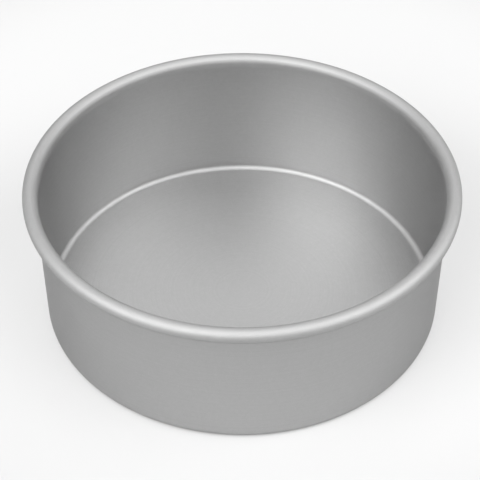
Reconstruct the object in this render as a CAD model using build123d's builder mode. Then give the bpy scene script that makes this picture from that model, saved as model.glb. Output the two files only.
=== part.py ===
from build123d import *

import math
import os

# A round cake tin with nearly upright sides. The body is one piece of sheet aluminium: a flat base, a
# rounded corner, a wall with a slight draft and a rim that is rolled outward round a stiffening wire.
# The origin is at the centre of the underside of the base, and +Z runs up the tin's axis.

# Driving dimensions of the body, in millimetres and degrees
inner_diameter = 203.0
inner_depth = 76.4
sheet = 1.4
corner_radius = 3.0
draft_angle = 0.74

# Driving dimensions of the rolled rim
wire_diameter = 4.4
wire_clearance = 0.1
tuck_gap = 0.3
edge_rounding = 0.3
wire_end_gap = 1.0

# The roll, a tube of sheet that is a close fit round the wire
roll_inner_radius = wire_diameter / 2 + wire_clearance
roll_line_radius = roll_inner_radius + sheet / 2
roll_outer_radius = roll_inner_radius + sheet

# The wall leans out by the draft and runs straight into the roll, where the inside is at its widest
draft = math.radians(draft_angle)
inner_radius = inner_diameter / 2
height = sheet + inner_depth
roll_centre_radius = inner_radius + roll_outer_radius * math.cos(draft)
roll_centre_height = height - roll_outer_radius
wall_end_radius = roll_centre_radius - roll_line_radius * math.cos(draft)
wall_end_height = roll_centre_height + roll_line_radius * math.sin(draft)

# The middle lines of the base and the wall meet at the foot, before the corner is rounded
foot_height = sheet / 2
foot_radius = wall_end_radius - (wall_end_height - foot_height) * math.tan(draft)

# The roll stops where its cut edge, turned in under the wire, is a tuck gap from the wall
tuck_angle = math.degrees(math.acos((roll_inner_radius - tuck_gap) / roll_outer_radius))
roll_sweep = 360 - tuck_angle

# The wire is a ring whose two ends stand a small gap apart
wire_gap_angle = math.degrees(wire_end_gap / roll_centre_radius)

# Body: the middle line of the sheet, given its thickness and turned about the axis
with BuildPart() as body:
    with BuildSketch(Plane.XZ):
        with BuildLine() as sheet_line:
            middle = (0, foot_height)
            foot = (foot_radius, foot_height)
            wall_end = (wall_end_radius, wall_end_height)
            side = FilletPolyline(middle, foot, wall_end, radius=corner_radius + sheet / 2)
            roll = JernArc(side @ 1, side % 1, roll_line_radius, -roll_sweep)
        section = trace(sheet_line.line, line_width=sheet)
        cut_edge = section.vertices().sort_by_distance(roll @ 1)[0:2]
        fillet(cut_edge, radius=edge_rounding)
    revolve(axis=Axis.Z)
body.part.label = "tin_body"

# Rim wire: a round ring in the middle of the roll
with BuildPart() as wire:
    with BuildSketch(Plane.XZ):
        with Locations((roll_centre_radius, roll_centre_height)):
            Circle(wire_diameter / 2)
    revolve(axis=Axis.Z, revolution_arc=360 - wire_gap_angle)
wire.part.label = "rim_wire"

os.makedirs("parts", exist_ok=True)
for piece in (body, wire):
    export_step(piece.part, f"parts/{piece.part.label}.step")

print(f"outside diameter over the rim {2 * (roll_centre_radius + roll_outer_radius):.2f}")
print(f"height {height:.2f}")
print(f"rolled rim {2 * roll_outer_radius:.2f} across, turned through {roll_sweep:.1f} degrees")
print(f"inside narrows by {2 * (wall_end_radius - foot_radius):.2f} in diameter down to the base")
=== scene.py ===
import math

import bmesh
import bpy
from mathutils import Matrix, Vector


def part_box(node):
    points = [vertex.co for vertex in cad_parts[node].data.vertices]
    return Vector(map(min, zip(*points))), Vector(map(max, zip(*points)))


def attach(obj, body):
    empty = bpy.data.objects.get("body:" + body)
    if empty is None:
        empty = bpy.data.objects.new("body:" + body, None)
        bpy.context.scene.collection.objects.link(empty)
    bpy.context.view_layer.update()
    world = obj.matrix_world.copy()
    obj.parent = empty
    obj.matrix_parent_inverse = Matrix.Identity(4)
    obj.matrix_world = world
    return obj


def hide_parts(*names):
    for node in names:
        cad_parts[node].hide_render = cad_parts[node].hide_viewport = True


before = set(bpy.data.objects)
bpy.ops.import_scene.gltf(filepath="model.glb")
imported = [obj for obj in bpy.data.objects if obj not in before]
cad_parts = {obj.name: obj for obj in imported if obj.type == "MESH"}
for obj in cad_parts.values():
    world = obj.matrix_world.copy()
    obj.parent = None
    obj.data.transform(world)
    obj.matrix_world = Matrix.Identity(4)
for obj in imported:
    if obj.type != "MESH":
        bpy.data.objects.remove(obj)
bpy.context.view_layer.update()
scene = bpy.context.scene
millimetre = 0.001

# Sizes of the tin, read from the frame. The rim wire lies in the middle of the roll
body_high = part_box("tin_body")[1]
wire_low, wire_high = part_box("rim_wire")
height = body_high.z
wire_radius = (wire_high.z - wire_low.z) / 2
roll_centre_radius = wire_high.x - wire_radius
roll_outer_radius = body_high.x - roll_centre_radius
roll_centre_height = height - roll_outer_radius

# Sizes that the frame doesn't give, the same as those of the solids
draft = math.radians(0.74)
corner_radius = 3.0 * millimetre
wire_clearance = 0.1 * millimetre
tuck_gap = 0.3 * millimetre
edge_rounding = 0.3 * millimetre

# What follows from them
roll_inner_radius = wire_radius + wire_clearance
sheet = roll_outer_radius - roll_inner_radius
roll_line_radius = roll_inner_radius + sheet / 2
wall_end_radius = roll_centre_radius - roll_line_radius * math.cos(draft)
wall_end_height = roll_centre_height + roll_line_radius * math.sin(draft)
tuck_angle = math.acos((roll_inner_radius - tuck_gap) / roll_outer_radius)

# How finely the sheet is divided
round_steps = 360
corner_steps = 16
roll_steps = 64
edge_steps = 6
wall_steps = 8
base_steps = 12


def on_circle(centre, radius, angle):
    """The point at an angle on a circle in the half plane of radius and height. Angles are in radians."""
    return centre[0] + radius * math.cos(angle), centre[1] + radius * math.sin(angle)


def arc(centre, radius, start, end, steps):
    """Points on an arc in the same half plane, with its two ends."""
    return [on_circle(centre, radius, start + (end - start) * step / steps) for step in range(steps + 1)]


def straight(start, end, steps):
    """Points along a straight stretch, without its two ends."""
    points = []
    for step in range(1, steps):
        share = step / steps
        points.append(tuple(a + (b - a) * share for a, b in zip(start, end)))
    return points


def corner_centre():
    """The centre of the rounded corner, which touches the base and the leaning wall."""
    line_radius = corner_radius + sheet / 2
    centre_height = sheet + corner_radius
    touch_height = centre_height - line_radius * math.sin(draft)
    touch_radius = wall_end_radius - (wall_end_height - touch_height) * math.tan(draft)
    return touch_radius - line_radius * math.cos(draft), centre_height


def cut_edge(centre, end):
    """The rounded edge of the sheet where the roll stops. It gives the angles at which the roll's outside and
    inside run into the edge, and the points of the edge between them."""
    outer_path = roll_outer_radius - edge_rounding
    inner_path = roll_inner_radius + edge_rounding
    outer_angle = end + math.asin(edge_rounding / outer_path)
    inner_angle = end + math.asin(edge_rounding / inner_path)
    facing = end - math.pi / 2
    outer_place = on_circle(centre, outer_path, outer_angle)
    inner_place = on_circle(centre, inner_path, inner_angle)
    outer_round = arc(outer_place, edge_rounding, outer_angle, facing, edge_steps)
    inner_round = arc(inner_place, edge_rounding, facing, inner_angle - math.pi, edge_steps)
    return outer_angle, inner_angle, outer_round[1:] + inner_round[:-1]


def tin_outline():
    """The section of the sheet, from the middle of the inside of the base round to its underside."""
    corner = corner_centre()
    roll = (roll_centre_radius, roll_centre_height)
    roll_start = math.pi - draft
    roll_end = roll_start - 2 * math.pi + tuck_angle
    outer_end, inner_end, edge = cut_edge(roll, roll_end)
    inside_corner = arc(corner, corner_radius, -math.pi / 2, -draft, corner_steps)
    outside_corner = arc(corner, corner_radius + sheet, -draft, -math.pi / 2, corner_steps)
    roll_outside = arc(roll, roll_outer_radius, roll_start, outer_end, roll_steps)
    roll_inside = arc(roll, roll_inner_radius, inner_end, roll_start, roll_steps)
    middle_inside = (0.0, sheet)
    middle_outside = (0.0, 0.0)
    return (
        [middle_inside]
        + straight(middle_inside, inside_corner[0], base_steps)
        + inside_corner
        + straight(inside_corner[-1], roll_outside[0], wall_steps)
        + roll_outside
        + edge
        + roll_inside
        + straight(roll_inside[-1], outside_corner[0], wall_steps)
        + outside_corner
        + straight(outside_corner[-1], middle_outside, base_steps)
        + [middle_outside]
    )


def lathe(name, outline, steps):
    """A mesh made by turning an outline, whose two ends lie on the axis, round the axis."""
    builder = bmesh.new()
    rings = []
    for radius, z in outline:
        if radius == 0.0:
            rings.append([builder.verts.new((0.0, 0.0, z))])
            continue
        ring = []
        for step in range(steps):
            angle = 2 * math.pi * step / steps
            ring.append(builder.verts.new((radius * math.cos(angle), radius * math.sin(angle), z)))
        rings.append(ring)
    for near, far in zip(rings, rings[1:]):
        for step in range(steps):
            after = (step + 1) % steps
            corners = [near[step % len(near)], far[step % len(far)]]
            if len(far) > 1:
                corners.append(far[after])
            if len(near) > 1:
                corners.append(near[after])
            builder.faces.new(corners)
    bmesh.ops.recalc_face_normals(builder, faces=builder.faces)
    mesh = bpy.data.meshes.new(name)
    builder.to_mesh(mesh)
    builder.free()
    mesh.shade_smooth()
    piece = bpy.data.objects.new(name, mesh)
    scene.collection.objects.link(piece)
    return piece


# Most values of a noise lie between these two
noise_low = 0.3
noise_high = 0.7


def grey(shade):
    """A grey colour, from black at 0 to white at 1."""
    return (shade, shade, shade, 1.0)


class Nodes:
    """A material's node tree, with short ways to add and join its nodes."""

    def __init__(self, name):
        self.material = bpy.data.materials.new(name)
        self.material.use_nodes = True
        self.tree = self.material.node_tree
        self.shader = self.tree.nodes["Principled BSDF"]

    def join(self, source, target):
        """Joins a node's output to another node's input."""
        self.tree.links.new(source, target)

    def add(self, kind, **settings):
        """A new node of this kind, with its settings."""
        node = self.tree.nodes.new(kind)
        for setting, value in settings.items():
            setattr(node, setting, value)
        return node

    def place(self):
        """The place on the object in metres, whole and as its parts X, Y and Z."""
        whole = self.add("ShaderNodeTexCoord").outputs["Object"]
        parts = self.add("ShaderNodeSeparateXYZ")
        self.join(whole, parts.inputs[0])
        return whole, parts.outputs

    def maths(self, operation, first, second=0.0):
        """The outcome of an operation on one or two values, each a plain number or another node's output."""
        node = self.add("ShaderNodeMath", operation=operation)
        for socket, value in zip(node.inputs, (first, second)):
            if isinstance(value, bpy.types.NodeSocket):
                self.join(value, socket)
            else:
                socket.default_value = value
        return node.outputs[0]

    def noise(self, place, scale, detail, dimensions="3D"):
        """A noise between 0 and 1 at a place. Its scale is in cells a metre."""
        node = self.add("ShaderNodeTexNoise", noise_dimensions=dimensions)
        node.inputs["Scale"].default_value = scale
        node.inputs["Detail"].default_value = detail
        self.join(place, node.inputs["W" if dimensions == "1D" else "Vector"])
        return node.outputs["Fac"]

    def swing(self, noise, reach):
        """A noise stretched to run from minus its reach to its reach."""
        node = self.add("ShaderNodeMapRange")
        node.inputs["From Min"].default_value = noise_low
        node.inputs["From Max"].default_value = noise_high
        node.inputs["To Min"].default_value = -reach
        node.inputs["To Max"].default_value = reach
        self.join(noise, node.inputs["Value"])
        return node.outputs["Result"]

    def vary(self, middle, swings):
        """A middle value that noises move either way, given as pairs of a noise and its reach."""
        value = middle
        for noise, reach in swings:
            value = self.maths("ADD", self.swing(noise, reach), value)
        return value

    def ramp(self, value, start, end):
        """Goes smoothly from 0 to 1 as the value goes from start to end."""
        node = self.add("ShaderNodeMapRange", interpolation_type="SMOOTHSTEP")
        node.inputs["From Min"].default_value = start
        node.inputs["From Max"].default_value = end
        self.join(value, node.inputs["Value"])
        return node.outputs["Result"]

    def colour(self, shade):
        """Joins a grey of a changing shade to the shader as its colour."""
        mix = self.add("ShaderNodeCombineColor")
        for channel in ("Red", "Green", "Blue"):
            self.join(shade, mix.inputs[channel])
        self.join(mix.outputs[0], self.shader.inputs["Base Color"])

    def bump(self, heights, depth, strength):
        """Joins a bump to the shader. Depth is the height in metres between a value of 0 and 1."""
        node = self.add("ShaderNodeBump")
        node.inputs["Distance"].default_value = depth
        node.inputs["Strength"].default_value = strength
        self.join(heights, node.inputs["Height"])
        self.join(node.outputs["Normal"], self.shader.inputs["Normal"])

    def fix(self, **values):
        """Gives the shader's sockets values that are the same all over. An underscore stands for a space."""
        for name, value in values.items():
            self.shader.inputs[name.replace("_", " ")].default_value = value


# The sheet's noises, in cells a metre, and how much fine detail they have
grain_scale = 2600.0
rings_scale = 900.0
mottle_scale = 450.0
clouds_scale = 28.0
rings_detail = 5.0
usual_detail = 3.0

# Roughness of the flat sheet, what the bends add to it, and the reach of each noise in it
sheet_roughness = 0.50
corner_roughness = 0.10
roll_roughness = 0.20
grain_roughness = 0.02
rings_roughness = 0.03
mottle_roughness = 0.03
clouds_roughness = 0.012

# Shade of the sheet, the reach of each noise in it, and what is left of it at a glancing angle
sheet_shade = 0.45
grain_shade = 0.023
mottle_shade = 0.014
clouds_shade = 0.004
glancing_share = 0.35

# Relief of the sheet's surface. The rings stand this share as high as the grain
sheet_relief = 0.05 * millimetre
sheet_relief_strength = 0.5
rings_relief_share = 0.4


def satin_aluminium():
    """Bare aluminium with an even satin finish: a fine grain, faint rings from the spinning lathe, and
    duller bends, where the sheet has been stretched round the corner and round the wire."""
    nodes = Nodes("satin_aluminium_finish")
    place, parts = nodes.place()
    across = nodes.maths("MULTIPLY", parts["X"], parts["X"])
    along = nodes.maths("MULTIPLY", parts["Y"], parts["Y"])
    from_axis = nodes.maths("SQRT", nodes.maths("ADD", across, along))
    sheet_path = nodes.maths("ADD", from_axis, parts["Z"])
    grain = nodes.noise(place, grain_scale, usual_detail)
    rings = nodes.noise(sheet_path, rings_scale, rings_detail, "1D")
    mottle = nodes.noise(place, mottle_scale, usual_detail)
    clouds = nodes.noise(place, clouds_scale, usual_detail)

    # The path runs out along the base and up the wall, and is twice the radius longer past the corner
    fade = corner_radius / 2
    corner_start = corner_centre()[0] + sheet
    corner_end = corner_start + 2 * corner_radius
    past_start = nodes.ramp(sheet_path, corner_start, corner_start + fade)
    past_end = nodes.ramp(sheet_path, corner_end - fade, corner_end)
    in_corner = nodes.maths("SUBTRACT", past_start, past_end)
    in_roll = nodes.ramp(parts["Z"], height - 2 * roll_outer_radius, roll_centre_height)

    swings = (
        (clouds, clouds_roughness),
        (rings, rings_roughness),
        (mottle, mottle_roughness),
        (grain, grain_roughness),
    )
    roughness = nodes.vary(sheet_roughness, swings)
    roughness = nodes.maths("ADD", roughness, nodes.maths("MULTIPLY", in_corner, corner_roughness))
    roughness = nodes.maths("ADD", roughness, nodes.maths("MULTIPLY", in_roll, roll_roughness))
    nodes.join(roughness, nodes.shader.inputs["Roughness"])
    swings = ((clouds, clouds_shade), (grain, grain_shade), (mottle, mottle_shade))
    nodes.colour(nodes.vary(sheet_shade, swings))
    relief = nodes.maths("ADD", nodes.maths("MULTIPLY", rings, rings_relief_share), grain)
    nodes.bump(relief, sheet_relief, sheet_relief_strength)
    nodes.fix(Metallic=1.0, Specular_Tint=grey(glancing_share))
    return nodes.material


# The wire's lines and marks, in cells a metre, with the detail of the lines
lines_scale = 6000.0
lines_detail = 2.0
marks_scale = 400.0

# Roughness, shade and relief of the wire, and the reach of its marks and lines
wire_roughness = 0.40
marks_roughness = 0.06
wire_shade = 0.39
lines_shade = 0.03
wire_relief = 0.02 * millimetre
wire_relief_strength = 0.4


def drawn_wire():
    """Steel wire as it comes from the drawing die, with fine lines along its length."""
    nodes = Nodes("drawn_wire_finish")
    place, parts = nodes.place()
    lines = nodes.noise(parts["Z"], lines_scale, lines_detail, "1D")
    marks = nodes.noise(place, marks_scale, usual_detail)
    roughness = nodes.vary(wire_roughness, ((marks, marks_roughness),))
    nodes.join(roughness, nodes.shader.inputs["Roughness"])
    nodes.colour(nodes.vary(wire_shade, ((lines, lines_shade),)))
    nodes.bump(lines, wire_relief, wire_relief_strength)
    nodes.fix(Metallic=1.0)
    return nodes.material


tin = lathe("tin_sheet", tin_outline(), round_steps)
tin.data.materials.append(satin_aluminium())
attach(tin, "root")
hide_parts("tin_body")

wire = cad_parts["rim_wire"]
wire.data.materials.clear()
wire.data.materials.append(drawn_wire())

# The floor is pale, and a glow that only the camera and the tin's reflections see lifts it nearly to white
floor_half_width = 3.0
floor_shade = 0.3

# The glow is a painted pool of light: strongest in a round pool, whose centre lies behind the tin's axis, and
# fading to a weaker one
pool_painted_glow = 0.425
outer_painted_glow = 0.12
painted_pool_centre_y = 0.1
painted_pool_radius = 0.18
painted_pool_end_radius = 0.42

# A painted shadow under the tin: no glow lies there, and the glow sets in below the rounded corner
foot_radius = corner_centre()[0]
painted_shadow_outer_radius = foot_radius + corner_radius + sheet


def pale_floor():
    """A matt floor with a painted pool of light that glows softly round the tin, a painted shadow where the
    glow stops under the tin, and the tin's shadow from the lamps.
    """
    nodes = Nodes("pale_floor")
    place = nodes.add("ShaderNodeTexCoord").outputs["Object"]
    from_axis = nodes.add("ShaderNodeVectorMath", operation="LENGTH")
    nodes.join(place, from_axis.inputs[0])
    # Painted shadow: the glow is held off under the tin and rises to full just past the foot's corner
    clear = nodes.ramp(from_axis.outputs["Value"], foot_radius, painted_shadow_outer_radius)
    # Painted pool of light: the glow weakens away from the pool's centre
    from_centre = nodes.add("ShaderNodeVectorMath", operation="DISTANCE")
    nodes.join(place, from_centre.inputs[0])
    from_centre.inputs[1].default_value = (0.0, painted_pool_centre_y, 0.0)
    beyond_painted_pool = nodes.ramp(from_centre.outputs["Value"], painted_pool_radius, painted_pool_end_radius)
    painted_glow_lost = nodes.maths("MULTIPLY", beyond_painted_pool, pool_painted_glow - outer_painted_glow)
    painted_glow_level = nodes.maths("MULTIPLY", nodes.maths("SUBTRACT", pool_painted_glow, painted_glow_lost), clear)
    rays = nodes.add("ShaderNodeLightPath")
    seen = nodes.maths("MAXIMUM", rays.outputs["Is Camera Ray"], rays.outputs["Is Glossy Ray"])
    seen = nodes.maths("MAXIMUM", seen, rays.outputs["Is Transmission Ray"])
    nodes.join(nodes.maths("MULTIPLY", seen, painted_glow_level), nodes.shader.inputs["Emission Strength"])
    nodes.fix(Emission_Color=grey(1.0), Base_Color=grey(floor_shade))
    nodes.fix(Roughness=1.0, Specular_IOR_Level=0.0)
    nodes.material.cycles.emission_sampling = "NONE"
    return nodes.material


floor_corners = []
for side_x, side_y in ((-1, -1), (1, -1), (1, 1), (-1, 1)):
    floor_corners.append((side_x * floor_half_width, side_y * floor_half_width, 0.0))
floor_mesh = bpy.data.meshes.new("floor")
floor_mesh.from_pydata(floor_corners, [], [(0, 1, 2, 3)])
floor = bpy.data.objects.new("floor", floor_mesh)
scene.collection.objects.link(floor)
floor_mesh.materials.append(pale_floor())

# Soft lamps stand round the tin at one distance, as strong as the shading in the photograph asks for
lamp_distance = 3.0


def softbox(name, azimuth, elevation, spread, power):
    """A square lamp that faces the tin, spread degrees wide. Azimuth 0 is the camera's side, and it grows
    to the camera's right."""
    lamp = bpy.data.lights.new(name, "AREA")
    lamp.shape = "SQUARE"
    lamp.size = 2 * lamp_distance * math.tan(math.radians(spread / 2))
    lamp.energy = power
    holder = bpy.data.objects.new(name, lamp)
    holder.visible_camera = False
    scene.collection.objects.link(holder)
    turn, rise = math.radians(azimuth), math.radians(elevation)
    away = Vector((math.sin(turn) * math.cos(rise), -math.cos(turn) * math.cos(rise), math.sin(rise)))
    holder.location = away * lamp_distance
    holder.rotation_euler = away.to_track_quat("Z", "Y").to_euler()


softbox("key", azimuth=-45, elevation=53, spread=38, power=39.0)
softbox("key_front", azimuth=-32, elevation=37, spread=30, power=32.3)
softbox("key_side", azimuth=-62, elevation=37, spread=30, power=36.2)
softbox("left_side", azimuth=-95, elevation=40, spread=34, power=7.4)
softbox("right_high", azimuth=45, elevation=52, spread=35, power=34.8)
softbox("right_low", azimuth=62, elevation=37, spread=30, power=22.0)
softbox("right_side", azimuth=92, elevation=35, spread=32, power=38.2)
softbox("back_high", azimuth=180, elevation=76, spread=24, power=13.4)
softbox("back_low", azimuth=180, elevation=48, spread=30, power=9.9)

# A weak white light from all round
world_strength = 0.3
world = bpy.data.worlds.new("studio")
scene.world = world
world.use_nodes = True
sky = world.node_tree.nodes["Background"]
sky.inputs["Color"].default_value = grey(1.0)
sky.inputs["Strength"].default_value = world_strength

# The camera, found from the outline of the rim, the inside corner and the foot in the photograph
camera_elevation = math.radians(42.239)
camera_distance = 0.7879
aim_height = 0.03588
focal_pixels = 1532.4
frame_pixels = 480
sensor_width = 36.0
axis_pixel_x = 241.556
axis_pixel_y = 240.0
middle_pixel = 239.5

camera_data = bpy.data.cameras.new("camera")
camera_data.sensor_width = sensor_width
camera_data.lens = focal_pixels * sensor_width / frame_pixels
camera = bpy.data.objects.new("camera", camera_data)
scene.collection.objects.link(camera)
back = Vector((0.0, -math.cos(camera_elevation), math.sin(camera_elevation)))
up = Vector((0.0, math.sin(camera_elevation), math.cos(camera_elevation)))
pixel = camera_distance / focal_pixels
side_step = (middle_pixel - axis_pixel_x) * pixel
up_step = (axis_pixel_y - middle_pixel) * pixel
camera.location = Vector((side_step, 0.0, aim_height)) + back * camera_distance + up * up_step
camera.rotation_mode = "QUATERNION"
camera.rotation_quaternion = back.to_track_quat("Z", "Y")
scene.camera = camera

scene.view_settings.view_transform = "Standard"
